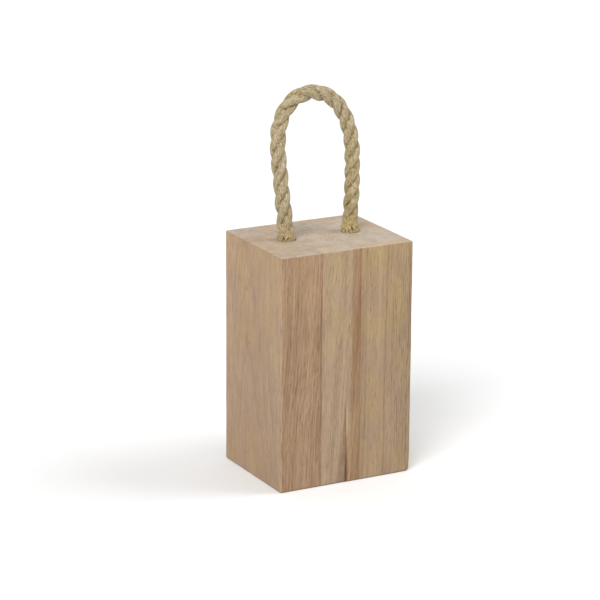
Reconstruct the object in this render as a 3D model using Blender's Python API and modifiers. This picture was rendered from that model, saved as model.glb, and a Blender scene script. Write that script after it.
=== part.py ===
"""Door stop: an upright block of four face-glued oak boards, with a loop of
three-strand rope glued into two blind holes in its top as a handle.

Origin at the middle of the base, +X along the wide face, +Y to the back, +Z up.
"""

import bmesh
import bpy
from math import radians
from mathutils import Vector

MM = 0.001

# The block
BLOCK_WIDTH = 110 * MM
BLOCK_DEPTH = 90 * MM
BLOCK_HEIGHT = 180 * MM
ARRIS_BEVEL = 1.2 * MM
ARRIS_SEGMENTS = 3

# The boards, from left to right, each at its thickness before gluing
BOARDS = {
    "board_left": 34.0 * MM,
    "board_centre_left": 32.5 * MM,
    "board_centre_right": 28.0 * MM,
    "board_right": 15.5 * MM,
}
GLUE_LINE = 0.3 * MM

# The blind holes for the rope
HOLE_SPACING = 53 * MM
HOLE_RADIUS = 6.3 * MM
HOLE_DEPTH = 33 * MM
HOLE_SIDES = 48

# The rope
ROPE_RADIUS = 6.0 * MM
ROPE_STEP = 5 * MM
ROPE_BEVEL_RESOLUTION = 4
CLEARANCE = 0.3 * MM
GLUE_THICKNESS = 4 * MM
HINGE_HEIGHT = BLOCK_HEIGHT + 12 * MM

# Rope route above the block's top, in mm, from the left hole over to the right one.
# The second point and the last but one are where the standing loop meets its fixed ends.
ROPE_ROUTE = [
    (-26.5, 0.0, 0.0),
    (-27.6, 0.4, 12.0),
    (-29.4, 1.3, 26.0),
    (-30.6, 2.3, 40.0),
    (-31.5, 3.3, 52.5),
    (-32.2, 4.2, 63.5),
    (-32.2, 5.0, 74.0),
    (-30.7, 5.8, 84.0),
    (-26.8, 6.7, 93.8),
    (-20.0, 7.4, 101.7),
    (-10.9, 7.9, 106.4),
    (-0.8, 8.0, 107.3),
    (9.1, 7.8, 104.2),
    (17.6, 7.3, 97.7),
    (24.0, 6.5, 88.2),
    (27.9, 5.7, 76.8),
    (29.7, 4.6, 65.0),
    (29.9, 3.5, 53.0),
    (29.1, 2.4, 40.5),
    (28.0, 1.3, 27.0),
    (26.8, 0.4, 12.0),
    (26.5, 0.0, 0.0),
]

# Base colour, roughness
OAK_LOOKS = {
    "board_left": ((0.47, 0.31, 0.19, 1.0), 0.6),
    "board_centre_left": ((0.50, 0.34, 0.20, 1.0), 0.6),
    "board_centre_right": ((0.45, 0.31, 0.19, 1.0), 0.6),
    "board_right": ((0.41, 0.28, 0.18, 1.0), 0.6),
}
ROPE_LOOK = ((0.50, 0.42, 0.25, 1.0), 0.9)
GLUE_LOOK = ((0.72, 0.62, 0.40, 1.0), 0.35)


def clear_scene():
    for item in list(bpy.data.objects):
        bpy.data.objects.remove(item)


def new_collection(name):
    collection = bpy.data.collections.new(name)
    bpy.context.scene.collection.children.link(collection)
    return collection


def finish_material(name, look):
    colour, roughness = look
    material = bpy.data.materials.new(name)
    material.use_nodes = True
    shader = material.node_tree.nodes["Principled BSDF"]
    shader.inputs["Base Color"].default_value = colour
    shader.inputs["Roughness"].default_value = roughness
    shader.inputs["Metallic"].default_value = 0.0
    return material


def add_object(name, data, collection, location, look=None):
    item = bpy.data.objects.new(name, data)
    item.location = location
    collection.objects.link(item)
    if look is None:
        item.hide_render = True
        item.display_type = "WIRE"
    else:
        data.materials.append(finish_material(name, look))
    return item


def box_mesh(name, size):
    mesh = bpy.data.meshes.new(name)
    shape = bmesh.new()
    bmesh.ops.create_cube(shape, size=1.0)
    bmesh.ops.scale(shape, vec=size, verts=shape.verts)
    shape.to_mesh(mesh)
    shape.free()
    return mesh


def cylinder_mesh(name, radius, height, sides):
    """A closed cylinder standing on its own origin."""
    mesh = bpy.data.meshes.new(name)
    shape = bmesh.new()
    bmesh.ops.create_cone(
        shape, cap_ends=True, segments=sides, radius1=radius, radius2=radius, depth=height
    )
    bmesh.ops.translate(shape, vec=(0, 0, height / 2), verts=shape.verts)
    shape.to_mesh(mesh)
    shape.free()
    mesh.shade_smooth()
    mesh.set_sharp_from_angle(angle=radians(40))
    return mesh


def cut(item, cutter, operation):
    boolean = item.modifiers.new(cutter.name, "BOOLEAN")
    boolean.operation = operation
    boolean.solver = "EXACT"
    boolean.object = cutter


def make_block_outline(cutters):
    """The whole block with eased arrises; each board is the slice of it between its glue lines."""
    mesh = box_mesh("block_outline", (BLOCK_WIDTH, BLOCK_DEPTH, BLOCK_HEIGHT))
    outline = add_object("block_outline", mesh, cutters, (0, 0, BLOCK_HEIGHT / 2))
    bevel = outline.modifiers.new("arrises", "BEVEL")
    bevel.width = ARRIS_BEVEL
    bevel.segments = ARRIS_SEGMENTS
    return outline


def make_hole_cutter(side, x, cutters):
    over = 5 * MM
    mesh = cylinder_mesh("hole_" + side, HOLE_RADIUS, HOLE_DEPTH + over, HOLE_SIDES)
    return add_object("hole_" + side, mesh, cutters, (x, 0, BLOCK_HEIGHT - HOLE_DEPTH))


def make_boards(parts, outline, holes):
    over = 10 * MM
    left = -BLOCK_WIDTH / 2
    for name, thickness in BOARDS.items():
        right = left + thickness
        low = left - over if name == "board_left" else left + GLUE_LINE / 2
        high = right + over if name == "board_right" else right - GLUE_LINE / 2
        size = (high - low, BLOCK_DEPTH + 2 * over, BLOCK_HEIGHT + 2 * over)
        centre = ((low + high) / 2, 0, BLOCK_HEIGHT / 2)
        board = add_object(name, box_mesh(name, size), parts, centre, OAK_LOOKS[name])
        cut(board, outline, "INTERSECT")
        for hole in holes:
            reach = abs(hole.location.x - centre[0])
            if reach < HOLE_RADIUS + (high - low) / 2:
                cut(board, hole, "DIFFERENCE")
        left = right


def smooth_route(points, step):
    """Points about a step apart on the smooth curve through the given ones.

    The curve stands straight up out of the top at both ends: beyond each end it
    is continued by the mirror image of the next point below the top.
    """
    nodes = [Vector(point) * MM for point in points]
    nodes.insert(0, Vector((nodes[1].x, nodes[1].y, -nodes[1].z)))
    nodes.append(Vector((nodes[-2].x, nodes[-2].y, -nodes[-2].z)))
    runs = []
    for before, start, end, after in zip(nodes, nodes[1:], nodes[2:], nodes[3:]):
        count = max(2, round((end - start).length / step))
        run = []
        for index in range(count + 1):
            t = index / count
            run.append(
                0.5
                * (
                    2 * start
                    + (end - before) * t
                    + (2 * before - 5 * start + 4 * end - after) * t**2
                    + (3 * start - before - 3 * end + after) * t**3
                )
            )
        runs.append(run)
    return runs


def pull_back(points, distance):
    """The same line with its last point moved back along it by the distance."""
    back = (points[-2] - points[-1]).normalized()
    return points[:-1] + [points[-1] + back * distance]


def rope_tube(name, points, parts, origin):
    """A plain round tube along the points, which are above the middle of the block's top."""
    data = bpy.data.curves.new(name, "CURVE")
    data.dimensions = "3D"
    data.bevel_depth = ROPE_RADIUS
    data.bevel_resolution = ROPE_BEVEL_RESOLUTION
    data.use_fill_caps = True
    spline = data.splines.new("POLY")
    spline.points.add(len(points) - 1)
    top = Vector((0, 0, BLOCK_HEIGHT))
    for target, point in zip(spline.points, points):
        target.co = (*(top + point - Vector(origin)), 1.0)
        target.radius = 1.0
    return add_object(name, data, parts, origin, ROPE_LOOK)


def make_rope(parts):
    """Two fixed ends, each from its hole's glue up to the hinge line, and the standing loop."""
    runs = smooth_route(ROPE_ROUTE, ROPE_STEP)
    foot = GLUE_THICKNESS - HOLE_DEPTH
    for side, run in (("left", runs[0]), ("right", runs[-1][::-1])):
        exit_point = run[0]
        bottom = Vector((exit_point.x, exit_point.y, foot))
        line = pull_back([bottom] + run, CLEARANCE / 2)
        rope_tube("rope_end_" + side, line, parts, (exit_point.x, 0, BLOCK_HEIGHT))
    loop = [runs[1][0]]
    for run in runs[1:-1]:
        loop.extend(run[1:])
    loop = pull_back(loop, CLEARANCE / 2)
    loop = pull_back(loop[::-1], CLEARANCE / 2)[::-1]
    rope_tube("rope_handle", loop, parts, (0, 0, HINGE_HEIGHT))


def make_glue(side, x, parts):
    """The pool of set glue between the hole's bottom and the end of the rope."""
    name = "glue_" + side
    height = GLUE_THICKNESS - 2 * CLEARANCE
    mesh = cylinder_mesh(name, HOLE_RADIUS - CLEARANCE, height, HOLE_SIDES)
    z = BLOCK_HEIGHT - HOLE_DEPTH + CLEARANCE
    add_object(name, mesh, parts, (x, 0, z), GLUE_LOOK)


def main():
    clear_scene()
    parts = new_collection("door_stop_block")
    cutters = new_collection("cutters")
    outline = make_block_outline(cutters)
    places = {"left": -HOLE_SPACING / 2, "right": HOLE_SPACING / 2}
    holes = [make_hole_cutter(side, x, cutters) for side, x in places.items()]
    make_boards(parts, outline, holes)
    make_rope(parts)
    for side, x in places.items():
        make_glue(side, x, parts)


main()
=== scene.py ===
"""Looks of the oak door-stop block with its laid-rope handle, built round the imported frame."""

import math

import bmesh
import bpy
import numpy as np
from mathutils import Matrix, Vector, noise


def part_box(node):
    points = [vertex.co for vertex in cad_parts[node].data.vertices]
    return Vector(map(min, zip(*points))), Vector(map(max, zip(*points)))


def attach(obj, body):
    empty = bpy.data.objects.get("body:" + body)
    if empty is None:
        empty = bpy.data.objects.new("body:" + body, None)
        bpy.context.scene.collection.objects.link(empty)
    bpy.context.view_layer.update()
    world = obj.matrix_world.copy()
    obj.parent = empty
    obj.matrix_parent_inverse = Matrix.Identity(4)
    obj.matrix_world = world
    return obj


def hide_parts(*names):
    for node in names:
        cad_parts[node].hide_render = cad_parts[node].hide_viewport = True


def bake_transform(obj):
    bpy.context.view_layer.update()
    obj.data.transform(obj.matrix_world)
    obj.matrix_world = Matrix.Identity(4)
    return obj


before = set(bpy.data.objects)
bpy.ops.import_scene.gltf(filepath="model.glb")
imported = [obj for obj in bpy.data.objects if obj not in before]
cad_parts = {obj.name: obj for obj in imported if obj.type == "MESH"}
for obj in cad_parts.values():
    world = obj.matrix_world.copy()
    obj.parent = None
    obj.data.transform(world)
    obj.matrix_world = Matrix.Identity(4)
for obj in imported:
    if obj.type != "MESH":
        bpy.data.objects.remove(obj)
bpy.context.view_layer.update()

MM = 0.001

# Camera, in the block's own frame
CAMERA_AZIMUTH = math.radians(-28.27)
CAMERA_ELEVATION = math.radians(16.35)
CAMERA_ROLL = math.radians(0.357)
CAMERA_DISTANCE = 2.168
CAMERA_AIM_RIGHT = -0.0137
CAMERA_AIM_UP = 0.0383
CAMERA_LENS = 173.04
CAMERA_SENSOR = 36.0

# The rope's route above the block's top, in mm, from the left hole over to the right one
ROPE_ROUTE = [
    (-26.5, 0.0, 0.0),
    (-27.6, 0.4, 12.0),
    (-29.4, 1.3, 26.0),
    (-30.6, 2.3, 40.0),
    (-31.5, 3.3, 52.5),
    (-32.2, 4.2, 63.5),
    (-32.2, 5.0, 74.0),
    (-30.7, 5.8, 84.0),
    (-26.8, 6.7, 93.8),
    (-20.0, 7.4, 101.7),
    (-10.9, 7.9, 106.4),
    (-0.8, 8.0, 107.3),
    (9.1, 7.8, 104.2),
    (17.6, 7.3, 97.7),
    (24.0, 6.5, 88.2),
    (27.9, 5.7, 76.8),
    (29.7, 4.6, 65.0),
    (29.9, 3.5, 53.0),
    (29.1, 2.4, 40.5),
    (28.0, 1.3, 27.0),
    (26.8, 0.4, 12.0),
    (26.5, 0.0, 0.0),
]
ROPE_DIAMETER = 12 * MM
ROPE_DEPTH_IN_HOLE = 29 * MM

# Rope lay: three strands one way, their yarns twisted the other way. The phase is how
# far the strands have turned at the foot of the left hole, where the rope starts. The
# pitch changes over a stretch measured from the left rim. Thick and wide are halves.
STRANDS = 3
ROPE_PHASE = 0.22
PITCH_LEFT = 40.8 * MM
PITCH_RIGHT = 35.0 * MM
PITCH_CHANGE = (102 * MM, 130 * MM)
STRAND_ORBIT = 3.12 * MM
STRAND_THICK = 2.80 * MM
STRAND_WIDE = 3.10 * MM
# How much further out the strands stand where they open, and how unevenly elsewhere
ORBIT_OPEN = 0.55 * MM
ORBIT_UNEVEN = 0.20 * MM
YARNS = 12
YARN_PITCH = 28.0 * MM
YARN_RELIEF = 0.30 * MM
YARN_UNEVEN = 0.17 * MM
YARN_WIDTH = 1.6 * MM
RING_STEP = 0.83 * MM
POINTS_ROUND = 72
# How far below the rope's round outline the valleys of its lay count as fully deep,
# where their painted shade and painted light are full
VALLEY_DEPTH = 2.2 * MM

# Loose fibres inside the lay, which show in its valleys. Cells say how fast the noise
# that makes them uneven changes, round the rope and in each metre along it.
CORE_RADIUS = 3.95 * MM
CORE_UNEVEN = 0.9 * MM
CORE_CELLS = (1.3, 260.0)
CORE_POINTS_ROUND = 28

# Yarns that have sprung out where the rope enters each hole. Slants are in radians, a
# range for each third of them. Tops above the block, radius and flare are in mm.
ROOT_YARNS = 30
ROOT_SEED = 5
ROOT_SLANTS = ((0.9, 1.6), (-1.5, -0.7), (-0.3, 0.3))
ROOT_TOPS = (5.0, 14.0)
ROOT_FOOT = -5.0 * MM
ROOT_THICK = (0.78, 1.05)
ROOT_FLARE = (0.6, 1.3)
ROOT_RADIUS = 4.75 * MM
ROOT_SPLAY = math.radians(152)
ROOT_LEAN = np.array((-0.8 * MM, 0.0, 0.0))
ROOT_RINGS = 16
ROOT_POINTS_ROUND = 8

# Stray fibres over the whole rope: how many, the share of them near the holes, and
# their length and radius in mm
FUZZ_FIBRES = 340
FUZZ_SEED = 11
FUZZ_AT_ROOTS = 0.3
FUZZ_LENGTH = (2.5, 7.5)
FUZZ_THICK = (0.022, 0.045)
FUZZ_STEPS = 5

# Rope colours, and tints that multiply them
ROPE_PALE = (0.515, 0.434, 0.304, 1.0)
ROPE_GOLD = (0.258, 0.190, 0.076, 1.0)
ROPE_FLECK = (0.24, 0.16, 0.07, 1.0)
# Painted shade for the valleys of the lay, and painted light that lifts their shade
VALLEY_PAINTED_SHADE = (0.125, 0.083, 0.020, 1.0)
VALLEY_PAINTED_LIGHT = (1.20, 1.19, 1.09)
PINKISH = (1.04, 0.97, 0.97)
OLIVE = (0.95, 1.00, 0.88)
RIGHT_LEG_TINT = (1.00, 0.985, 0.88)
ROOT_TINT = (1.10, 1.08, 0.94)
FUZZ_PALE = (0.66, 0.58, 0.40, 1.0)
FUZZ_GOLD = (0.48, 0.39, 0.22, 1.0)
GLUE_PALE = (0.74, 0.64, 0.42, 1.0)
GLUE_AMBER = (0.60, 0.47, 0.26, 1.0)

# Block
HOLE_RADIUS = 6.3 * MM
HOLE_DEPTH = 33 * MM
HOLE_RIM = 0.35 * MM
HOLE_SIDES = 72
BOARD_SEAM = 0.05 * MM
# How far the boards' slabs reach past the block before its shell trims them
SLAB_OVER = 10 * MM
ARRIS_RADIUS = 1.2 * MM
ARRIS_UNEVEN = 0.35
# Distances from an edge, in mm, at which the shell has points, so that arrises come out round
ARRIS_PLACES = (0.0, 0.35, 0.75, 1.2, 1.8, 2.6, 3.6)
FACE_STEP = 6 * MM
WORN_CORNER = 1.3 * MM
WORN_REACH = 9 * MM
SHARP_ANGLE = math.radians(32)

# Soft studio light: each sun's direction, its width in degrees and its strength
SUNS = {
    "key_left": ((-0.76, -0.64, 0.84), 30.0, 1.90),
    "key_right": ((0.93, -0.37, 1.10), 30.0, 1.06),
    "overhead": ((0.0, 0.15, 1.0), 60.0, 0.39),
}
WORLD_STRENGTH = 0.47
FLOOR_COLOUR = (0.90, 0.90, 0.90, 1.0)
FLOOR_SIZE = 12.0

boxes = {name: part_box(name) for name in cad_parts}
block_low = Vector(boxes["board_left"][0])
block_high = Vector((boxes["board_right"][1][0], boxes["board_left"][1][1], boxes["board_left"][1][2]))
block_size = block_high - block_low
block_top = block_high.z


# ------------------------ objects, camera, floor and lights


def add_object(name, data):
    made = bpy.data.objects.new(name, data)
    bpy.context.scene.collection.objects.link(made)
    return made


def mesh_object(name, shape):
    mesh = bpy.data.meshes.new(name)
    shape.to_mesh(mesh)
    shape.free()
    return add_object(name, mesh)


def direction(azimuth, elevation):
    """From the object towards a viewer at this azimuth and elevation."""
    level = math.cos(elevation)
    return Vector((math.sin(azimuth) * level, -math.cos(azimuth) * level, math.sin(elevation)))


def make_camera():
    back = direction(CAMERA_AZIMUTH, CAMERA_ELEVATION)
    level_right = Vector((math.cos(CAMERA_AZIMUTH), math.sin(CAMERA_AZIMUTH), 0.0))
    level_up = back.cross(level_right)
    aim = Vector((0.0, 0.0, block_top / 2)) + level_right * CAMERA_AIM_RIGHT + level_up * CAMERA_AIM_UP
    right = level_right * math.cos(CAMERA_ROLL) + level_up * math.sin(CAMERA_ROLL)
    up = level_up * math.cos(CAMERA_ROLL) - level_right * math.sin(CAMERA_ROLL)
    data = bpy.data.cameras.new("camera")
    data.lens = CAMERA_LENS
    data.sensor_width = CAMERA_SENSOR
    data.clip_end = 50.0
    camera = add_object("camera", data)
    turned = Matrix((right, up, back)).transposed().to_4x4()
    camera.matrix_world = Matrix.Translation(aim + back * CAMERA_DISTANCE) @ turned
    bpy.context.scene.camera = camera


def make_sun(name, towards, spread, strength):
    """A distant soft light, so that the whole floor is lit evenly."""
    data = bpy.data.lights.new(name, "SUN")
    data.angle = math.radians(spread)
    data.energy = strength
    light = add_object(name, data)
    light.rotation_mode = "QUATERNION"
    light.rotation_quaternion = Vector(towards).to_track_quat("Z", "Y")


def make_lights():
    for name, (towards, spread, strength) in SUNS.items():
        make_sun(name, towards, spread, strength)
    world = bpy.data.worlds.new("studio")
    world.use_nodes = True
    background = world.node_tree.nodes["Background"]
    background.inputs["Color"].default_value = (1.0, 1.0, 1.0, 1.0)
    background.inputs["Strength"].default_value = WORLD_STRENGTH
    bpy.context.scene.world = world
    bpy.context.scene.view_settings.view_transform = "Standard"


def make_floor():
    shape = bmesh.new()
    bmesh.ops.create_grid(shape, x_segments=8, y_segments=8, size=FLOOR_SIZE)
    floor = mesh_object("floor", shape)
    material = bpy.data.materials.new("floor_white")
    material.use_nodes = True
    shader = material.node_tree.nodes["Principled BSDF"]
    shader.inputs["Base Color"].default_value = FLOOR_COLOUR
    shader.inputs["Roughness"].default_value = 0.8
    floor.data.materials.append(material)


# ------------------------ material building


class Graph:
    """Short names for the shader nodes that the materials below are made of."""

    def __init__(self, name):
        self.material = bpy.data.materials.new(name)
        self.material.use_nodes = True
        self.tree = self.material.node_tree
        self.shader = self.tree.nodes["Principled BSDF"]

    def node(self, kind, inputs=(), **settings):
        made = self.tree.nodes.new(kind)
        for key, value in settings.items():
            setattr(made, key, value)
        for key, value in dict(inputs).items():
            self.put(made.inputs[key], value)
        return made

    def put(self, socket, value):
        if isinstance(value, bpy.types.NodeSocket):
            self.tree.links.new(value, socket)
        else:
            socket.default_value = value

    def math(self, operation, a, b=0.0):
        made = self.node("ShaderNodeMath", operation=operation)
        self.put(made.inputs[0], a)
        self.put(made.inputs[1], b)
        return made.outputs[0]

    def add(self, a, b):
        return self.math("ADD", a, b)

    def minus(self, a, b):
        return self.math("SUBTRACT", a, b)

    def times(self, a, b):
        return self.math("MULTIPLY", a, b)

    def vector(self, operation, a, b=(0.0, 0.0, 0.0)):
        made = self.node("ShaderNodeVectorMath", operation=operation)
        self.put(made.inputs[0], a)
        self.put(made.inputs[1], b)
        return made.outputs["Value" if operation in ("LENGTH", "DOT_PRODUCT") else "Vector"]

    def split(self, vector):
        return self.node("ShaderNodeSeparateXYZ", {"Vector": vector}).outputs

    def join(self, x, y, z):
        return self.node("ShaderNodeCombineXYZ", {"X": x, "Y": y, "Z": z}).outputs[0]

    def noise(self, vector, detail=2.0, roughness=0.5, output=0):
        """Output 0 is the value, around 0.5; output 1 is three values as a colour."""
        inputs = {"Vector": vector, "Scale": 1.0, "Detail": detail, "Roughness": roughness}
        return self.node("ShaderNodeTexNoise", inputs).outputs[output]

    def random(self, value):
        made = self.node("ShaderNodeTexWhiteNoise", {"W": value}, noise_dimensions="1D")
        return made.outputs["Value"]

    def step(self, value, low, high):
        """0 below low, 1 above high, smooth between; low may be above high."""
        made = self.node("ShaderNodeMapRange", interpolation_type="SMOOTHSTEP")
        self.put(made.inputs["Value"], value)
        self.put(made.inputs["From Min"], low)
        self.put(made.inputs["From Max"], high)
        return made.outputs["Result"]

    def mix(self, amount, a, b):
        made = self.node("ShaderNodeMix", data_type="RGBA")
        self.put(made.inputs[0], amount)
        self.put(made.inputs[6], a)
        self.put(made.inputs[7], b)
        return made.outputs[2]

    def tint(self, amount, colour, factor):
        """The colour multiplied by the factor, as far as the amount says."""
        return self.vector("MULTIPLY", colour, self.mix(amount, (1.0, 1.0, 1.0, 1.0), factor + (1.0,)))

    def in_mm(self):
        """The object's own coordinates, in mm."""
        place = self.node("ShaderNodeTexCoord").outputs["Object"]
        return self.vector("MULTIPLY", place, (1.0 / MM, 1.0 / MM, 1.0 / MM))

    def scaled_noise(self, place, scale, detail=2.0, roughness=0.55):
        """Noise that is 0 on average, at so many cells for each mm along x, y and z."""
        value = self.noise(self.vector("MULTIPLY", place, scale), detail, roughness)
        return self.minus(value, 0.5)

    def curve(self, value, stops):
        """A smooth curve through (place, height) stops."""
        made = self.node("ShaderNodeValToRGB", {"Fac": value})
        ramp = made.color_ramp
        ramp.interpolation = "EASE"
        while len(ramp.elements) < len(stops):
            ramp.elements.new(0.5)
        for element, (place, height) in zip(ramp.elements, stops):
            element.position = place
            element.color = (height, height, height, 1.0)
        return made.outputs["Color"]

    def bump(self, height, distance):
        made = self.node("ShaderNodeBump", {"Height": height, "Distance": distance})
        self.put(self.shader.inputs["Normal"], made.outputs["Normal"])


# ------------------------ oak


# Each board is cut from its own place in a log. The pith's place, its lean along
# the board (mm sideways for each mm up) and the ring width give the figure. The
# weights say how strongly each part of it shows. Yellow is the share of the yellow
# patches, and end tone how dark the end grain is. Bands are (x on the front, half
# width, strength) in mm and follow the rings; seams are the same but run straight.
BOARD_WOOD = {
    "board_left": {
        "pith": (52.0, -2.0),
        "lean": (0.035, 0.0),
        "ring": 2.3,
        "pale": (0.385, 0.252, 0.152, 1.0),
        "dark": (0.215, 0.118, 0.060, 1.0),
        "weights": dict(rings=0.16, layers=0.45, streaks=1.9, dashes=1.1, threads=0.6, clouds=0.4),
        "yellow": 0.35,
        "end_tone": 0.5,
        "bands": [(-47.0, 5.0, 0.10), (-33.0, 3.5, -0.12), (-25.0, 2.0, 0.06)],
        "seams": [(-21.6, 1.2, 0.30)],
    },
    "board_centre_left": {
        "pith": (-80.0, 40.0),
        "lean": (0.070, 0.0),
        "ring": 3.4,
        "pale": (0.348, 0.234, 0.141, 1.0),
        "dark": (0.215, 0.135, 0.077, 1.0),
        "weights": dict(rings=0.24, layers=0.65, streaks=1.5, dashes=0.9, threads=0.9, clouds=0.3),
        "yellow": 1.0,
        "end_tone": 0.27,
        "bands": [(-9.0, 0.9, 0.22), (-15.0, 3.0, -0.12), (-2.5, 1.8, -0.12)],
        "seams": [],
    },
    "board_centre_right": {
        "pith": (150.0, 20.0),
        "lean": (0.010, 0.0),
        "ring": 3.0,
        "pale": (0.372, 0.257, 0.158, 1.0),
        "dark": (0.235, 0.147, 0.083, 1.0),
        "weights": dict(rings=0.18, layers=1.0, streaks=0.7, dashes=1.0, threads=0.4, clouds=0.8),
        "yellow": 1.0,
        "end_tone": 0.2,
        "bands": [(13.8, 1.6, 0.14), (17.0, 0.7, -0.22), (27.0, 4.0, -0.12), (32.0, 0.45, 0.30)],
        "seams": [],
    },
    "board_right": {
        "pith": (-120.0, -30.0),
        "lean": (0.010, 0.0),
        "ring": 1.7,
        "pale": (0.360, 0.249, 0.156, 1.0),
        "dark": (0.219, 0.143, 0.077, 1.0),
        "weights": dict(rings=0.26, layers=0.5, streaks=1.7, dashes=1.4, threads=1.2, clouds=0.1),
        "yellow": 0.9,
        "end_tone": 0.2,
        "bands": [(52.5, 1.6, 0.16)],
        "seams": [(39.9, 0.35, -0.20)],
    },
}
# Each board's noise is taken from its own place, this many mm further on
SEED_STEP = 37.0

# Tints that multiply a board's colour: in yellow patches; on a flat-sawn face, its own tone
# together with painted light that lightens it; painted light that lightens the upper part; and
# painted shade along the foot, for the shadow where the block meets the floor. A flat-sawn face is also
# calmer.
YELLOW = (1.07, 1.08, 0.87)
FLAT_SAWN_TONE_AND_LIGHT = (1.19, 1.26, 1.36)
UPPER_PAINTED_LIGHT = (1.10, 1.10, 1.11)
FOOT_PAINTED_SHADE = (0.55, 0.56, 0.58)
FLAT_CALM = 0.60
FLAT_YELLOW = 0.70
# Vessels and rays: how far each covers the wood round it, and the vessels' colour
PORE_SHARE = 0.42
PORE_COLOUR = (0.13, 0.070, 0.034, 1.0)
RAY_SHARE = 0.14
# Sanded end grain: its colour, and the tints of its dark, warm and vessel spots
END_GRAIN = (0.533, 0.456, 0.374)
END_DARK = (0.76, 0.74, 0.70)
END_WARM = (1.06, 0.955, 0.86)
END_PORE = (0.60, 0.55, 0.50)
END_SHARE = 0.85
# The dark porous early wood's share through one growth ring, from its inside outwards
EARLY_WOOD = [(0.0, 0.30), (0.10, 1.0), (0.30, 0.45), (0.55, 0.12), (0.85, 0.0), (1.0, 0.22)]


def sideways(g, place, scale, detail, roughness, reach):
    """A wandering offset in x and y only, of up to about half the reach."""
    course = g.noise(g.vector("MULTIPLY", place, scale), detail, roughness, 1)
    return g.vector("MULTIPLY", g.vector("SUBTRACT", course, (0.5, 0.5, 0.5)), (reach, reach, 0.0))


def log_place(g, p, wood, seed):
    """The point as seen from the pith: wandering x and y with the height, radius and angle."""
    shifted = g.vector("ADD", p, (seed, 2.0 * seed, 3.0 * seed))
    slow = sideways(g, shifted, (0.018, 0.018, 0.006), 1.0, 0.4, 8.0)
    quick = sideways(g, shifted, (0.09, 0.09, 0.014), 2.0, 0.5, 1.5)
    x, y, z = g.split(g.vector("ADD", g.vector("ADD", p, slow), quick))
    above = g.minus(z, block_top / MM / 2)
    x = g.minus(g.minus(x, wood["pith"][0]), g.times(above, wood["lean"][0]))
    y = g.minus(g.minus(y, wood["pith"][1]), g.times(above, wood["lean"][1]))
    radius = g.vector("LENGTH", g.join(x, y, 0.0))
    around = g.math("ARCTAN2", y, x)
    return g.join(g.add(x, seed), y, z), radius, around


def growth_rings(g, radius, wood, seed):
    """How dark each point is from its growth ring's tone, and where the porous early wood is."""
    rings = g.math("DIVIDE", radius, wood["ring"])
    uneven = g.noise(g.join(g.times(rings, 0.35), seed, 0.0), 1.0)
    rings = g.add(rings, g.times(uneven, 2.2))
    tone = g.random(g.add(g.math("FLOOR", rings), seed))
    early = g.curve(g.math("FRACT", rings), EARLY_WOOD)
    return g.times(early, g.add(0.4, tone)), early


class Oak:
    """What a board's colour is worked out from: its place in the log, its rings and its fibres."""

    def __init__(self, g, wood, seed):
        self.wood = wood
        self.p = g.in_mm()
        self.x, self.y, self.z = g.split(self.p)
        self.fibre, self.radius, self.around = log_place(g, self.p, wood, seed)
        self.up = g.split(self.fibre)[2]
        self.rings, self.early = growth_rings(g, self.radius, wood, seed)
        self.streaks = g.scaled_noise(self.fibre, (0.85, 2.2, 0.012), 3.0, 0.66)
        self.dashes = g.scaled_noise(self.fibre, (1.15, 3.0, 0.11), 2.0, 0.6)
        pores = g.noise(g.vector("MULTIPLY", self.fibre, (2.6, 2.6, 0.17)), 1.0, 0.5)
        self.pore = g.step(g.minus(pores, g.minus(0.66, g.times(self.early, 0.10))), 0.0, 0.07)
        normal = g.node("ShaderNodeNewGeometry").outputs["Normal"]
        spoke = g.join(g.math("COSINE", self.around), g.math("SINE", self.around), 0.0)
        self.flat = g.step(g.math("ABSOLUTE", g.vector("DOT_PRODUCT", normal, spoke)), 0.45, 0.85)
        self.end = g.step(g.math("ABSOLUTE", g.split(normal)[2]), 0.6, 0.9)


def grain_amount(g, oak):
    """How dark the grain is. Layers and clouds are calmer on a flat-sawn face; fibres are not."""
    weights = oak.wood["weights"]
    layer_place = g.join(oak.radius, g.times(oak.around, 9.0), oak.up)
    layers = g.scaled_noise(layer_place, (0.55, 0.3, 0.006), 3.0, 0.62)
    clouds = g.scaled_noise(oak.fibre, (0.09, 0.09, 0.022), 2.0)
    figure = g.times(g.minus(oak.rings, 0.3), weights["rings"])
    figure = g.add(figure, g.times(layers, weights["layers"]))
    figure = g.add(figure, g.times(clouds, weights["clouds"]))
    figure = g.times(figure, g.minus(1.0, g.times(oak.flat, FLAT_CALM)))
    threads = g.scaled_noise(oak.fibre, (2.0, 3.0, 0.07), 1.0)
    fine = g.add(g.times(oak.streaks, weights["streaks"]), g.times(oak.dashes, weights["dashes"]))
    fine = g.add(fine, g.times(threads, weights["threads"]))
    return g.add(0.42, g.add(figure, fine))


def add_bands(g, oak, amount):
    """The amount with the board's bands, which follow the rings, and its straight seams."""
    pith_x, pith_y = oak.wood["pith"]
    for front_x, half, strength in oak.wood["bands"]:
        centre = math.hypot(front_x - pith_x, block_low.y / MM - pith_y)
        off = g.math("ABSOLUTE", g.minus(oak.radius, centre))
        amount = g.add(amount, g.times(g.step(off, 1.6 * half, 0.3 * half), strength))
    for seam_x, half, strength in oak.wood["seams"]:
        off = g.math("ABSOLUTE", g.minus(oak.x, seam_x))
        amount = g.add(amount, g.times(g.step(off, 1.4 * half, 0.4 * half), strength))
    return amount


def add_vessels(g, oak, colour):
    """Thin pale ray plates standing on the pith, and fine dark vessels, crowded in early wood."""
    ray_place = g.join(g.times(oak.around, 190.0), g.times(oak.radius, 0.05), g.times(oak.up, 0.075))
    ray = g.step(g.noise(ray_place, 1.0), 0.66, 0.74)
    colour = g.mix(g.times(ray, RAY_SHARE), colour, oak.wood["pale"])
    return g.mix(g.times(oak.pore, PORE_SHARE), colour, PORE_COLOUR)


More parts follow.
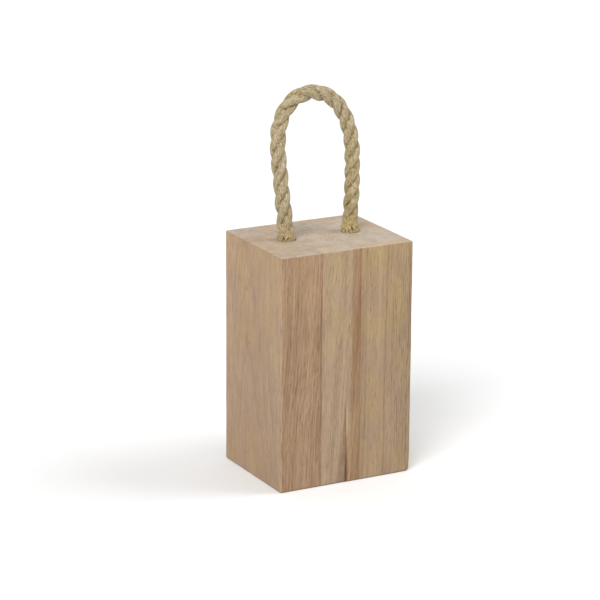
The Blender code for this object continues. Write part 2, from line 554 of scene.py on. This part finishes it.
def add_tones(g, oak, colour):
    """Yellow patches, more of them higher up, the flat-sawn tone with painted light, painted light on
    the upper part and painted shade along the foot.
    """
    yellow = g.scaled_noise(oak.p, (0.05, 0.05, 0.035), 2.0, 0.6)
    higher = g.times(g.step(oak.z, 85.0, 170.0), 0.15)
    share = g.add(oak.wood["yellow"], g.times(oak.flat, FLAT_YELLOW - oak.wood["yellow"]))
    yellow = g.times(g.step(g.add(yellow, higher), -0.05, 0.20), share)
    colour = g.tint(yellow, colour, YELLOW)
    # Flat-sawn faces: the wood's own tone there, and painted light that lightens them
    colour = g.tint(oak.flat, colour, FLAT_SAWN_TONE_AND_LIGHT)
    # Painted light: lighter towards the top, less so on flat-sawn faces
    upper = g.times(g.step(oak.z, 112.0, 165.0), g.minus(1.0, g.times(oak.flat, 0.6)))
    colour = g.tint(upper, colour, UPPER_PAINTED_LIGHT)
    # Painted shade: darker in the lowest mm, for the shadow where the foot meets the floor
    return g.tint(g.step(oak.z, 1.2, 0.3), colour, FOOT_PAINTED_SHADE)


def end_grain(g, oak):
    """Sanded end grain, which is paler, greyer and evener than the faces."""
    mottle = g.scaled_noise(oak.fibre, (0.11, 0.11, 0.11), 4.0, 0.72)
    specks = g.scaled_noise(oak.fibre, (0.42, 0.42, 0.42), 3.0, 0.7)
    mottle = g.add(g.times(mottle, 3.6), g.times(specks, 1.5))
    tone = g.add(g.add(oak.wood["end_tone"], mottle), g.times(oak.early, 0.16))
    colour = g.tint(tone, END_GRAIN, END_DARK)
    warm = g.scaled_noise(oak.p, (0.024, 0.024, 0.024), 3.0)
    colour = g.tint(g.step(warm, -0.08, 0.08), colour, END_WARM)
    return g.tint(g.times(oak.pore, 0.5), colour, END_PORE)


def oak_material(name, wood, marks=None):
    """Ring-porous oak worked out in the solid, so that every face shows the same log."""
    g = Graph(name)
    oak = Oak(g, wood, SEED_STEP * (1 + list(BOARD_WOOD).index(name)))
    amount = add_bands(g, oak, grain_amount(g, oak))
    colour = add_vessels(g, oak, g.mix(amount, wood["pale"], wood["dark"]))
    if marks:
        colour = marks(g, oak, colour)
    colour = add_tones(g, oak, colour)
    colour = g.mix(g.times(oak.end, END_SHARE), colour, end_grain(g, oak))
    g.put(g.shader.inputs["Base Color"], colour)

    rough = g.add(0.60, g.times(oak.streaks, 0.25))
    g.put(g.shader.inputs["Roughness"], g.add(rough, g.times(oak.pore, 0.15)))
    relief = g.minus(g.times(oak.dashes, -0.6), g.times(oak.pore, 0.9))
    g.bump(g.minus(relief, g.times(oak.early, 0.25)), 0.00005)
    return g.material


CRACKED_BOARD = "board_centre_left"
# The drying crack low in its front, in mm: its top, its place, and the jog sideways with
# the heights between which it lies
CRACK_TOP = 62.0
CRACK_X = -1.0
CRACK_JOG = 1.0
CRACK_JOG_LOW = 28.0
CRACK_JOG_HIGH = 46.0
# Half its opening and its depth: what they are at the top, and how much more at the foot
CRACK_HALF = (0.06, 0.40)
CRACK_DEEP = (0.18, 0.34)
CRACK_STEPS = 40
# The left edge of the dark strip beside the second glue line, in mm
STRIP_X = 3.9

# Tints that multiply the second board's colour in its marks
STRIP_TINT = (0.73, 0.555, 0.375)
STAIN_TINT = (0.67, 0.60, 0.52)
RED_TINT = (0.97, 0.86, 0.80)
PALE_TINT = (1.08, 1.07, 1.10)
# Painted shade of the crack, wider than its cut opening
CRACK_PAINTED_SHADE = (0.49, 0.40, 0.26)


def crack_line(z):
    """Sideways place of the crack at a height, in mm."""
    t = min(1.0, max(0.0, (CRACK_JOG_HIGH - z) / (CRACK_JOG_HIGH - CRACK_JOG_LOW)))
    return CRACK_X + CRACK_JOG * t * t * (3 - 2 * t)


def add_strip(g, oak, colour, front):
    """The dark strip: heartwood with its own finer stripes, and soft edges that follow the grain."""
    wander = g.scaled_noise(oak.p, (0.0, 0.0, 0.022), 2.0)
    inward = g.minus(oak.x, g.add(STRIP_X, g.times(wander, 4.0)))
    strip = g.times(g.step(inward, -1.3, 1.2), front)
    stripes = g.scaled_noise(oak.fibre, (0.55, 0.05, 0.008), 3.0, 0.6)
    depth = g.add(0.66, g.times(stripes, 2.0))
    depth = g.add(depth, g.times(g.step(inward, 2.5, 6.5), 0.26))
    depth = g.times(depth, g.add(0.72, g.times(g.step(oak.z, 40.0, 80.0), 0.28)))
    depth = g.times(depth, g.add(0.78, g.times(g.step(oak.z, 160.0, 120.0), 0.22)))
    return g.tint(g.times(strip, depth), colour, STRIP_TINT)


def add_stain(g, oak, colour, off, front):
    """Grey shading that widens down the crack's left, and redder and paler wood on its right."""
    reach = g.math("MAXIMUM", g.times(g.minus(CRACK_TOP - 6.0, oak.z), 0.16), 0.4)
    shade = g.times(g.step(g.math("DIVIDE", off, reach), -1.45, -0.40), g.step(off, 0.9, -0.2))
    shade = g.times(g.times(shade, g.step(oak.z, CRACK_TOP - 2.0, 45.0)), front)
    mottle = g.scaled_noise(oak.p, (0.5, 0.5, 0.14), 3.0, 0.65)
    colour = g.tint(g.times(shade, g.add(0.95, g.times(mottle, 2.2))), colour, STAIN_TINT)
    red = g.times(g.step(off, -0.2, 0.9), g.step(off, 9.0, 1.5))
    red = g.times(g.times(red, g.step(oak.z, 40.0, 26.0)), front)
    colour = g.tint(red, colour, RED_TINT)
    pale = g.times(g.step(off, 0.3, 1.2), g.step(off, 5.5, 3.0))
    pale = g.times(g.times(pale, g.step(oak.z, 64.0, 52.0)), g.step(oak.z, 28.0, 40.0))
    return g.tint(g.times(pale, front), colour, PALE_TINT)


def paint_crack_shade(g, oak, colour, off, front):
    """Painted shade along the crack, over its cut opening: a hair at the top, a soft brown line below
    the jog.
    """
    half = g.add(0.32, g.times(g.step(oak.z, 38.0, 8.0), 1.05))
    dark = g.step(g.math("DIVIDE", g.math("ABSOLUTE", off), half), 1.6, 0.4)
    hair = g.times(g.step(oak.z, CRACK_TOP, CRACK_TOP - 6.0), g.step(oak.z, 44.0, 54.0))
    deep = g.add(g.times(hair, 0.75), g.times(g.step(oak.z, 38.0, 4.0), 0.95))
    deep = g.math("MAXIMUM", deep, g.times(g.step(oak.z, 60.0, 50.0), 0.30))
    return g.tint(g.times(g.times(dark, deep), front), colour, CRACK_PAINTED_SHADE)


def second_board_marks(g, oak, colour):
    """The dark strip beside the glue line, the stained wood round the drying crack, and painted shade
    along the crack.
    """
    front = g.step(oak.y, -8.0, -34.0)
    colour = add_strip(g, oak, colour, front)
    off = g.minus(oak.x, CRACK_X)
    off = g.minus(off, g.times(g.step(oak.z, CRACK_JOG_HIGH, CRACK_JOG_LOW), CRACK_JOG))
    colour = add_stain(g, oak, colour, off, front)
    return paint_crack_shade(g, oak, colour, off, front)


# ------------------------ block


def grid_places(half):
    """Places along one side of the block: close together at the arrises, wider between them."""
    places = [-half + e * MM for e in ARRIS_PLACES]
    inner = half - ARRIS_PLACES[-1] * MM
    count = max(2, round(2 * inner / FACE_STEP))
    places += [-inner + 2 * inner * i / count for i in range(1, count)]
    places += [half - e * MM for e in reversed(ARRIS_PLACES)]
    return places


def arris_radius(point):
    """Radius of the eased arris at a point: uneven by hand sanding, and worn at one low corner."""
    point = Vector(point)
    along = noise.noise(point * 45.0) + 0.5 * noise.noise(point * 140.0)
    worn = Vector((block_high.x, block_low.y, block_low.z))
    wear = WORN_CORNER * math.exp(-(((point - worn).length / WORN_REACH) ** 2))
    return ARRIS_RADIUS * (1.0 + ARRIS_UNEVEN * along) + wear


def block_shell(name):
    """The whole block as one closed mesh with rounded arrises, before it is cut into boards."""
    half = block_size / 2
    middle = (block_low + block_high) / 2
    sides = [grid_places(h) for h in half]
    shape = bmesh.new()
    verts = {}

    def vert(point):
        key = tuple(round(c * 1e6) for c in point)
        if key not in verts:
            radius = arris_radius(middle + Vector(point))
            core = Vector([max(-h + radius, min(h - radius, c)) for h, c in zip(half, point)])
            out = Vector(point) - core
            place = core + out.normalized() * radius if out.length > radius else Vector(point)
            verts[key] = shape.verts.new(middle + place)
        return verts[key]

    for axis in range(3):
        a, b = (axis + 1) % 3, (axis + 2) % 3
        for end in (-1, 1):
            for a0, a1 in zip(sides[a], sides[a][1:]):
                for b0, b1 in zip(sides[b], sides[b][1:]):
                    corners = []
                    for ca, cb in ((a0, b0), (a1, b0), (a1, b1), (a0, b1)):
                        point = [0.0, 0.0, 0.0]
                        point[axis], point[a], point[b] = end * half[axis], ca, cb
                        corners.append(vert(tuple(point)))
                    shape.faces.new(corners if end > 0 else corners[::-1])
    return mesh_object(name, shape)


def slab(name, low, high):
    shape = bmesh.new()
    bmesh.ops.create_cube(shape, size=1.0)
    bmesh.ops.scale(shape, vec=high - low, verts=shape.verts)
    bmesh.ops.translate(shape, vec=(low + high) / 2, verts=shape.verts)
    return mesh_object(name, shape)


def closed_solid(name, shape, rings):
    """Joins the rings of points in turn, and closes the first and the last one."""
    for one, other in zip(rings, rings[1:]):
        for i in range(len(one)):
            j = (i + 1) % len(one)
            shape.faces.new((one[i], other[i], other[j], one[j]))
    shape.faces.new(rings[0])
    shape.faces.new(rings[-1][::-1])
    bmesh.ops.recalc_face_normals(shape, faces=shape.faces)
    return mesh_object(name, shape)


def hole_cutter(name, x):
    """A turned cutter: the drilled hole with a slightly broken rim, open above the top."""
    over = 6 * MM
    wide = HOLE_RADIUS + HOLE_RIM
    profile = [(wide, over), (wide, 0.0), (HOLE_RADIUS, -HOLE_RIM), (HOLE_RADIUS, -HOLE_DEPTH)]
    shape = bmesh.new()
    rings = []
    for r, z in profile:
        ring = []
        for i in range(HOLE_SIDES):
            turn = 2 * math.pi * i / HOLE_SIDES
            ring.append(shape.verts.new((x + r * math.cos(turn), r * math.sin(turn), block_top + z)))
        rings.append(ring)
    return closed_solid(name, shape, rings)


def crack_cutter():
    """A thin wedge that opens the drying crack, widest and deepest at the block's foot."""
    shape = bmesh.new()
    rows = []
    below = 3.0
    ahead = 1.0 * MM
    front = block_low.y - ahead
    for i in range(CRACK_STEPS + 1):
        z = -below + (CRACK_TOP + below) * i / CRACK_STEPS
        fade = 1.0 - max(z, 0.0) / CRACK_TOP
        half = (CRACK_HALF[0] + CRACK_HALF[1] * fade**2) * MM
        deep = (CRACK_DEEP[0] + CRACK_DEEP[1] * fade) * MM
        x = crack_line(z) * MM
        spread = half * (1.0 + ahead / deep)
        row = [(x - spread, front), (x + spread, front), (x, block_low.y + deep)]
        rows.append([shape.verts.new((a, b, block_low.z + z * MM)) for a, b in row])
    return closed_solid("crack_cutter", shape, rows)


def boolean(target, operation, other):
    modifier = target.modifiers.new(other.name, "BOOLEAN")
    modifier.operation = operation
    modifier.solver = "EXACT"
    modifier.object = other


def apply_modifiers(target):
    graph = bpy.context.evaluated_depsgraph_get()
    mesh = bpy.data.meshes.new_from_object(target.evaluated_get(graph))
    target.modifiers.clear()
    target.data = mesh
    mesh.shade_smooth()
    mesh.set_sharp_from_angle(angle=SHARP_ANGLE)


def cut_board(name, left, right, shell, holes, crack):
    """One board: the shell's part between two seams, with its share of the holes and the crack."""
    low = Vector((left, block_low.y - SLAB_OVER, block_low.z - SLAB_OVER))
    high = Vector((right, block_high.y + SLAB_OVER, block_high.z + SLAB_OVER))
    board = slab("oak_" + name, low, high)
    boolean(board, "INTERSECT", shell)
    for x, cutter in holes:
        if left < x + HOLE_RADIUS + MM and right > x - HOLE_RADIUS - MM:
            boolean(board, "DIFFERENCE", cutter)
    if name == CRACKED_BOARD:
        boolean(board, "DIFFERENCE", crack)
    apply_modifiers(board)
    return board


def make_boards():
    shell = block_shell("block_shell")
    exits = [ROPE_ROUTE[0][0] * MM, ROPE_ROUTE[-1][0] * MM]
    holes = [(x, hole_cutter(f"hole_cutter_{i}", x)) for i, x in enumerate(exits)]
    crack = crack_cutter()
    names = list(BOARD_WOOD)
    seams = [(boxes[a][1][0] + boxes[b][0][0]) / 2 for a, b in zip(names, names[1:])]
    lefts = [block_low.x - SLAB_OVER] + [s + BOARD_SEAM / 2 for s in seams]
    rights = [s - BOARD_SEAM / 2 for s in seams] + [block_high.x + SLAB_OVER]
    for name, left, right in zip(names, lefts, rights):
        board = cut_board(name, left, right, shell, holes, crack)
        marks = second_board_marks if name == CRACKED_BOARD else None
        board.data.materials.clear()
        board.data.materials.append(oak_material(name, BOARD_WOOD[name], marks))
        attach(board, "block")
        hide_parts(name)
    for helper in [shell, crack] + [cutter for _, cutter in holes]:
        bpy.data.objects.remove(helper)


# ------------------------ rope


def run_along(line):
    """How far along the line each of its points is."""
    return np.concatenate([[0.0], np.cumsum(np.linalg.norm(np.diff(line, axis=0), axis=1))])


def smooth_route():
    """The rope's middle line, evenly spaced, from the foot of one hole to the foot of the other.

    Between the route's points it is a smooth curve that stands straight up out of
    the top: beyond each end it is continued by the mirror image of the next point.
    """
    nodes = [np.array(point) * MM for point in ROPE_ROUTE]
    mirror = np.array((1.0, 1.0, -1.0))
    nodes = [nodes[1] * mirror] + nodes + [nodes[-2] * mirror]
    line = []
    for before, start, end, after in zip(nodes, nodes[1:], nodes[2:], nodes[3:]):
        slope = end - before
        bend = 2 * before - 5 * start + 4 * end - after
        twist = 3 * start - before - 3 * end + after
        for t in np.arange(0.0, 1.0, 0.02):
            line.append(0.5 * (2 * start + slope * t + bend * t**2 + twist * t**3))
    line.append(nodes[-2])
    foot = np.array((0.0, 0.0, -ROPE_DEPTH_IN_HOLE))
    line = [line[0] + foot] + line + [line[-1] + foot]
    line = np.array(line) + np.array((0.0, 0.0, block_top))
    along = run_along(line)
    count = round(along[-1] / RING_STEP)
    places = np.linspace(0.0, along[-1], count + 1)
    even = np.stack([np.interp(places, along, line[:, i]) for i in range(3)], axis=1)
    return even, places


def unit(vectors):
    return vectors / np.linalg.norm(vectors, axis=1)[:, None]


def carried_frame(line):
    """Two directions across the line that don't twist as they go along it."""
    tangent = unit(np.gradient(line, axis=0))
    first = np.empty_like(line)
    first[0] = (1.0, 0.0, 0.0)
    for i in range(1, len(line)):
        carried = first[i - 1] - tangent[i] * (first[i - 1] @ tangent[i])
        first[i] = carried / np.linalg.norm(carried)
    return first, np.cross(tangent, first)


def squared(line, out):
    """The ways out of and across a bent line, both square to its course."""
    course = unit(np.gradient(line, axis=0))
    out = unit(out - course * np.sum(out * course, axis=1)[:, None])
    return out, np.cross(course, out)


def round_line(line, angles):
    """The direction from the line at each angle round it: (points of the line, angles, 3)."""
    first, second = carried_frame(line)
    first, second = first[:, None, :], second[:, None, :]
    return np.cos(angles)[:, :, None] * first + np.sin(angles)[:, :, None] * second


def wander(places, seed, length):
    """A slow smooth random course along the rope, about -1 to 1."""
    return np.array([noise.noise(Vector((s / length, 17.3 * seed, 5.1))) for s in places]) * 1.8


def smooth_step(values, low, high):
    t = np.clip((values - low) / (high - low), 0.0, 1.0)
    return t * t * (3 - 2 * t)


def running_sum(rate, places):
    """The integral of a rate along the rope, from its start."""
    return np.concatenate([[0.0], np.cumsum(0.5 * (rate[1:] + rate[:-1]) * np.diff(places))])


def strand_turn(places):
    """How far the strands have turned: the lay is tighter on the right leg than on the left."""
    free = places - ROPE_DEPTH_IN_HOLE
    pitch = PITCH_LEFT + (PITCH_RIGHT - PITCH_LEFT) * smooth_step(free, *PITCH_CHANGE)
    return running_sum(2 * math.pi / pitch, places)


def bump(values, centre, width):
    return np.exp(-(((values - centre) / width) ** 2))


def opening(places, total):
    """How far the strands stand open: 0.6 above the left hole, 0.4 at both rims, 0 elsewhere."""
    left = places - ROPE_DEPTH_IN_HOLE
    right = total - ROPE_DEPTH_IN_HOLE - places
    rims = bump(left, 2.5 * MM, 2.5 * MM) + bump(right, 3.0 * MM, 3.0 * MM)
    return 0.6 * bump(left, 12 * MM, 5.5 * MM) + 0.4 * rims


def leaning(line, places):
    """The rope's middle line with its slight lean just over the left hole."""
    return line + ROOT_LEAN * bump(places, ROPE_DEPTH_IN_HOLE + 9 * MM, 6 * MM)[:, None]


def valley(reach):
    """0 on the rope's round outline, rising to 1 in the depth of its lay."""
    return np.clip((ROPE_DIAMETER / 2 - reach) / VALLEY_DEPTH, 0.0, 1.0)


def yarn_places(places, run, angle, open_up, number):
    """Which yarn each point of a strand's surface is on, counted round it as a running number."""
    twist = -running_sum(2 * math.pi / YARN_PITCH * (1.0 + 0.5 * open_up), run)
    yarn = YARNS * (angle[None, :] - twist[:, None]) / (2 * math.pi)
    return yarn + 0.22 * wander(places, 9 + number, 0.02)[:, None]


def yarn_swell(yarn, places, lobe, open_up, number):
    """How far the yarns stand out of a strand, each of them thicker and thinner along its way."""
    whole = np.round(yarn).astype(int) % YARNS
    size = np.empty_like(yarn)
    for k in range(YARNS):
        course = wander(places, 30 + 11 * number + k, 0.012)
        size[whole == k] = np.broadcast_to(course[:, None], yarn.shape)[whole == k]
    relief = YARN_RELIEF * (1.0 + 0.9 * open_up[:, None])
    return relief * (lobe - 0.75) + YARN_UNEVEN * size * lobe


def strand_surface(line, places, number):
    """Points, distance along, yarn number and groove depth of one strand, ring by ring."""
    first, second = carried_frame(line)
    open_up = opening(places, places[-1])
    turn = ROPE_PHASE + strand_turn(places) + 2 * math.pi * number / STRANDS
    turn = turn + 0.10 * wander(places, 3 + number, 0.025)
    orbit = STRAND_ORBIT + ORBIT_OPEN * open_up + ORBIT_UNEVEN * wander(places, number, 0.012)
    line = leaning(line, places)
    outward = np.cos(turn)[:, None] * first + np.sin(turn)[:, None] * second
    centre = line + outward * orbit[:, None]
    outward, across = squared(centre, outward)
    run = run_along(centre)

    angle = np.linspace(0.0, 2 * math.pi, POINTS_ROUND, endpoint=False)
    yarn = yarn_places(places, run, angle, open_up, number)
    lobe = np.abs(np.cos(math.pi * yarn))
    swell = yarn_swell(yarn, places, lobe, open_up, number)
    thick = (STRAND_THICK + swell) * np.cos(angle)[None, :]
    wide = (STRAND_WIDE + swell) * np.sin(angle)[None, :]
    points = centre[:, None, :] + thick[:, :, None] * outward[:, None, :]
    points = points + wide[:, :, None] * across[:, None, :]
    groove = valley(np.linalg.norm(points - line[:, None, :], axis=2))
    # The sides between the yarns count as groove too, for painted shade there
    groove = np.clip(groove + 0.75 * (1.0 - lobe) ** 2, 0.0, 1.0)
    return points, run, yarn, groove


class Tubes:
    """Collects closed tubes, each with fibre coordinates and a groove depth, into one mesh."""

    def __init__(self):
        self.verts, self.faces, self.caps, self.uvs, self.grooves = [], [], [], [], []
        self.count = 0

    def add(self, points, along, across, groove, wrap):
        """Points are (rings, round, 3). Past the seam, across goes on by wrap, not back to its start."""
        rings, round_ = points.shape[:2]
        i, j = np.meshgrid(np.arange(rings - 1), np.arange(round_), indexing="ij")
        i, j = i.ravel(), j.ravel()
        j2 = (j + 1) % round_
        lower, upper = i * round_, (i + 1) * round_
        quads = np.stack([lower + j, lower + j2, upper + j2, upper + j], 1)
        seam = np.where(j2 == 0, wrap, 0.0)
        corners = []
        for a, b, carry in ((i, j, 0.0), (i, j2, seam), (i + 1, j2, seam), (i + 1, j, 0.0)):
            corners.append(np.stack([along[a] / MM, across[a, b] + carry], 1))
        self.verts.append(points.reshape(-1, 3))
        self.faces.append(quads + self.count)
        self.uvs.append(np.stack(corners, 1).reshape(-1, 2))
        self.grooves.append(groove.reshape(-1))
        start, end = self.count, self.count + (rings - 1) * round_
        self.caps.append([start + k for k in range(round_)][::-1])
        self.caps.append([end + k for k in range(round_)])
        self.count += rings * round_

    def build(self, name, material):
        mesh = bpy.data.meshes.new(name)
        verts = np.concatenate(self.verts)
        mesh.from_pydata(verts.tolist(), [], np.concatenate(self.faces).tolist() + self.caps)
        flat = np.concatenate(self.uvs)
        unmapped = np.zeros((sum(len(cap) for cap in self.caps), 2))
        layer = mesh.uv_layers.new(name="Fibres")
        layer.data.foreach_set("uv", np.concatenate([flat, unmapped]).astype(np.float32).ravel())
        attribute = mesh.attributes.new("groove", "FLOAT", "POINT")
        attribute.data.foreach_set("value", np.concatenate(self.grooves).astype(np.float32))
        mesh.shade_smooth()
        mesh.materials.append(material)
        return add_object(name, mesh)


def loose_core(line, places):
    """Loose fibres that lie in the valleys between the strands and fill them unevenly."""
    line = leaning(line, places)
    angle = np.linspace(0.0, 2 * math.pi, CORE_POINTS_ROUND, endpoint=False)
    out = round_line(line, ROPE_PHASE + strand_turn(places)[:, None] + angle[None, :])
    turn_cells, length_cells = CORE_CELLS
    uneven = []
    for ring, s in zip(out, places):
        here = Vector((0.0, 0.0, s * length_cells))
        uneven.append([noise.noise(Vector(way * turn_cells) + here) for way in ring])
    radius = CORE_RADIUS + CORE_UNEVEN * np.array(uneven)
    points = line[:, None, :] + radius[:, :, None] * out
    across = np.broadcast_to(angle[None, :] * CORE_RADIUS / YARN_WIDTH, radius.shape)
    return points, across, valley(radius)


def root_yarn(draw, line, places, end, number):
    """One sprung yarn: its points, distance along, place across and groove depth."""
    start = 2 * math.pi * number / ROOT_YARNS + draw.uniform(-0.12, 0.12)
    top = draw.uniform(*ROOT_TOPS) * MM
    slant = draw.uniform(*ROOT_SLANTS[number % 3])
    thick = draw.uniform(*ROOT_THICK) * MM
    towards = math.cos(start + 0.7 * slant - ROOT_SPLAY)
    splay = 0.5 * abs(towards) if end else 0.8 * max(0.0, towards)
    flare = (draw.uniform(*ROOT_FLARE) + splay) * MM

    t = np.linspace(0.0, 1.0, ROOT_RINGS)
    height = top + (ROOT_FOOT - top) * t
    here = ROPE_DEPTH_IN_HOLE + height
    here = places[-1] - here if end else here
    middle = np.stack([np.interp(here, places, line[:, k]) for k in range(3)], 1)
    angle = start + slant * t
    radius = ROOT_RADIUS + flare * bump(height, 2.4 * MM, 3.4 * MM)
    out = np.stack([np.cos(angle), np.sin(angle), np.zeros_like(angle)], 1)
    centre = middle + out * radius[:, None]
    out, side = squared(centre, out)

    sides = np.linspace(0.0, 2 * math.pi, ROOT_POINTS_ROUND, endpoint=False)
    ring = np.cos(sides)[None, :, None] * out[:, None, :]
    ring = ring + np.sin(sides)[None, :, None] * side[:, None, :]
    run = run_along(centre)
    across = 1.2 * sides[None, :] / math.pi + 0.10 * run[:, None] / MM
    across = across + 100.0 + 4.0 * number + 80.0 * end
    # Painted shade: darker going down into the hole, and on each yarn's side that faces the rope
    sunk = np.clip(0.15 - height / (4 * MM), 0.0, 1.0)[:, None]
    facing = 0.55 * (1.0 - np.cos(sides))[None, :]
    return centre[:, None, :] + thick * ring, 2.2 * run, across, np.clip(sunk + facing, 0.0, 1.0)


def root_yarns(tubes, line, places):
    """Yarns that have sprung out of the lay where the rope goes into each hole."""
    draw = np.random.default_rng(ROOT_SEED)
    line = leaning(line, places)
    for end in (0, 1):
        for number in range(ROOT_YARNS):
            tubes.add(*root_yarn(draw, line, places, end, number), 2.4)


def make_rope():
    """The rope as one mesh, its middle line, and the strands' points for the stray fibres."""
    line, places = smooth_route()
    tubes = Tubes()
    for number in range(STRANDS):
        points, run, yarn, groove = strand_surface(line, places, number)
        tubes.add(points, run, yarn + 20.0 * number, groove, YARNS)
    points, across, groove = loose_core(line, places)
    tubes.add(points, places, across + 70.0, groove, 2 * math.pi * CORE_RADIUS / YARN_WIDTH)
    strand_verts = np.concatenate(tubes.verts[:STRANDS])
    root_yarns(tubes, line, places)
    return tubes.build("laid_rope", rope_material()), line, strand_verts


def fibre_colour(g, fibres, along, yarn):
    """Straw-coloured fibres in pale and golden bundles with dark flecks, no two yarns alike."""
    bundles = g.noise(g.join(g.times(along, 0.34), g.times(yarn, 1.7), 7.0), 3.0, 0.75)
    tone = g.random(g.add(g.math("ROUND", yarn), 3.0))
    amount = g.add(g.times(fibres, 1.4), g.times(bundles, 5.2))
    amount = g.add(amount, g.times(tone, 0.35))
    colour = g.mix(g.minus(amount, 3.05), ROPE_PALE, ROPE_GOLD)
    fleck_place = g.join(g.times(along, 0.5), g.times(yarn, 5.0), 12.0)
    flecks = g.step(g.noise(fleck_place, 1.0), 0.70, 0.80)
    return g.mix(g.times(flecks, 0.35), colour, ROPE_FLECK)


def rope_tones(g, p, colour):
    """Hue that drifts between pinkish and olive, and is more golden on the right leg and low down."""
    drift = g.scaled_noise(p, (0.16, 0.16, 0.16), 3.0, 0.65)
    colour = g.tint(g.step(drift, 0.02, 0.16), colour, PINKISH)
    colour = g.tint(g.step(drift, -0.02, -0.16), colour, OLIVE)
    x, _, z = g.split(p)
    top = block_top / MM
    leg = g.times(g.step(x, 8.0, 22.0), g.step(z, top + 92.0, top + 55.0))
    colour = g.tint(leg, colour, RIGHT_LEG_TINT)
    return g.tint(g.step(z, top + 24.0, top + 2.0), colour, ROOT_TINT)


def rope_material():
    g = Graph("natural_rope")
    uv = g.node("ShaderNodeUVMap", uv_map="Fibres").outputs["UV"]
    along, yarn, _ = g.split(uv)
    p = g.in_mm()
    groove = g.node("ShaderNodeAttribute", attribute_name="groove").outputs["Fac"]
    fibres = g.noise(g.join(g.times(along, 0.16), g.times(yarn, 7.0), 1.0), 3.0, 0.6)
    colour = rope_tones(g, p, fibre_colour(g, fibres, along, yarn))

    # The valleys of the lay: painted light lifts the shade that falls in them, and painted shade
    # darkens them a little all along and more in spots
    spots = g.step(g.noise(g.vector("MULTIPLY", p, (0.42, 0.42, 0.42)), 2.0), 0.45, 0.58)
    colour = g.tint(groove, colour, VALLEY_PAINTED_LIGHT)
    shade = g.times(groove, g.add(g.times(spots, 0.72), g.times(groove, 0.12)))
    colour = g.mix(shade, colour, VALLEY_PAINTED_SHADE)
    g.put(g.shader.inputs["Base Color"], colour)
    g.put(g.shader.inputs["Roughness"], g.add(0.75, g.times(fibres, 0.2)))
    g.shader.inputs["Sheen Weight"].default_value = 0.12
    g.shader.inputs["Sheen Roughness"].default_value = 0.5
    g.bump(fibres, 0.00022)
    return g.material


def fuzz_root(draw, points, line):
    """A fibre's root and the ways out of and along the rope there; None deep in the lay."""
    low = int(ROPE_DEPTH_IN_HOLE / RING_STEP) + 2
    strand = draw.integers(STRANDS)
    ring = draw.integers(low, len(line) - low - 12)
    if draw.random() < FUZZ_AT_ROOTS:
        ring = low + draw.integers(14)
        ring = ring if draw.random() < 0.5 else len(line) - 6 - ring
    side = draw.integers(POINTS_ROUND)
    root = points[strand, ring, side]
    out = root - line[ring]
    if np.linalg.norm(out) < 0.46 * ROPE_DIAMETER:
        return None
    along = points[strand, ring + 3, side] - root
    return root, out / np.linalg.norm(out), along / np.linalg.norm(along)


def fuzz_fibre(draw, root, out, along):
    """The points of one curled fibre that thins towards its tip, three for each ring."""
    along = along * draw.choice([-1.0, 1.0])
    side_way = np.cross(out, along) * draw.normal(0.0, 0.5)
    length = draw.uniform(*FUZZ_LENGTH) * MM
    heading = along + side_way + out * draw.uniform(0.15, 0.75) * 0.4
    curl = draw.normal(0.0, 0.35, 3) + out * draw.normal(0.05, 0.35)
    thick = draw.uniform(*FUZZ_THICK) * MM
    place = root - out * 0.08 * MM
    points = []
    for k in range(FUZZ_STEPS + 1):
        heading = heading / np.linalg.norm(heading)
        wide = thick * (1.0 - 0.75 * k / FUZZ_STEPS)
        u = np.cross(heading, (0.31, 0.52, 0.79))
        u = u / np.linalg.norm(u)
        v = np.cross(heading, u)
        for turn in (0.0, 2 * math.pi / 3, 4 * math.pi / 3):
            points.append(place + wide * (math.cos(turn) * u + math.sin(turn) * v))
        place = place + heading * length / FUZZ_STEPS
        heading = heading + curl / FUZZ_STEPS
    return points


def fuzz_faces(base):
    """The faces of one closed fibre whose first point has this number."""
    faces = []
    for k in range(FUZZ_STEPS):
        a = base + 3 * k
        for m in range(3):
            n = (m + 1) % 3
            faces.append((a + m, a + n, a + 3 + n, a + 3 + m))
    end = base + 3 * FUZZ_STEPS
    return faces + [(base + 2, base + 1, base), (end, end + 1, end + 2)]


def fuzz_material():
    g = Graph("stray_fibre")
    spots = g.noise(g.vector("MULTIPLY", g.in_mm(), (0.3, 0.3, 0.3)), 1.0)
    g.put(g.shader.inputs["Base Color"], g.mix(spots, FUZZ_PALE, FUZZ_GOLD))
    g.shader.inputs["Roughness"].default_value = 0.8
    return g.material


def make_fuzz(line, verts):
    """Short stray fibres that have worked loose from the yarns."""
    draw = np.random.default_rng(FUZZ_SEED)
    points = verts.reshape(STRANDS, len(line), POINTS_ROUND, 3)
    shape_verts, faces = [], []
    made = 0
    while made < FUZZ_FIBRES:
        found = fuzz_root(draw, points, line)
        if found is None:
            continue
        faces += fuzz_faces(len(shape_verts))
        shape_verts += fuzz_fibre(draw, *found)
        made += 1
    mesh = bpy.data.meshes.new("rope_fuzz")
    mesh.from_pydata([tuple(v) for v in shape_verts], [], faces)
    mesh.shade_smooth()
    mesh.materials.append(fuzz_material())
    return add_object("rope_fuzz", mesh)


def dress_rope():
    rope, line, verts = make_rope()
    fuzz = make_fuzz(line, verts)
    for piece in (rope, fuzz):
        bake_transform(piece)
    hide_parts("rope_end_left", "rope_end_right", "rope_handle")


# ------------------------ glue


def dress_glue():
    """The two pools of set glue, carried over from the CAD."""
    g = Graph("set_glue")
    cloud = g.noise(g.vector("MULTIPLY", g.in_mm(), (0.26, 0.26, 0.26)), 3.0)
    g.put(g.shader.inputs["Base Color"], g.mix(cloud, GLUE_PALE, GLUE_AMBER))
    g.shader.inputs["Roughness"].default_value = 0.35
    g.bump(cloud, 0.0002)
    for name in ("glue_left", "glue_right"):
        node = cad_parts[name]
        node.data.materials.clear()
        node.data.materials.append(g.material)


make_camera()
dress_rope()
make_boards()
dress_glue()
make_floor()
make_lights()

bpy.context.view_layer.update()
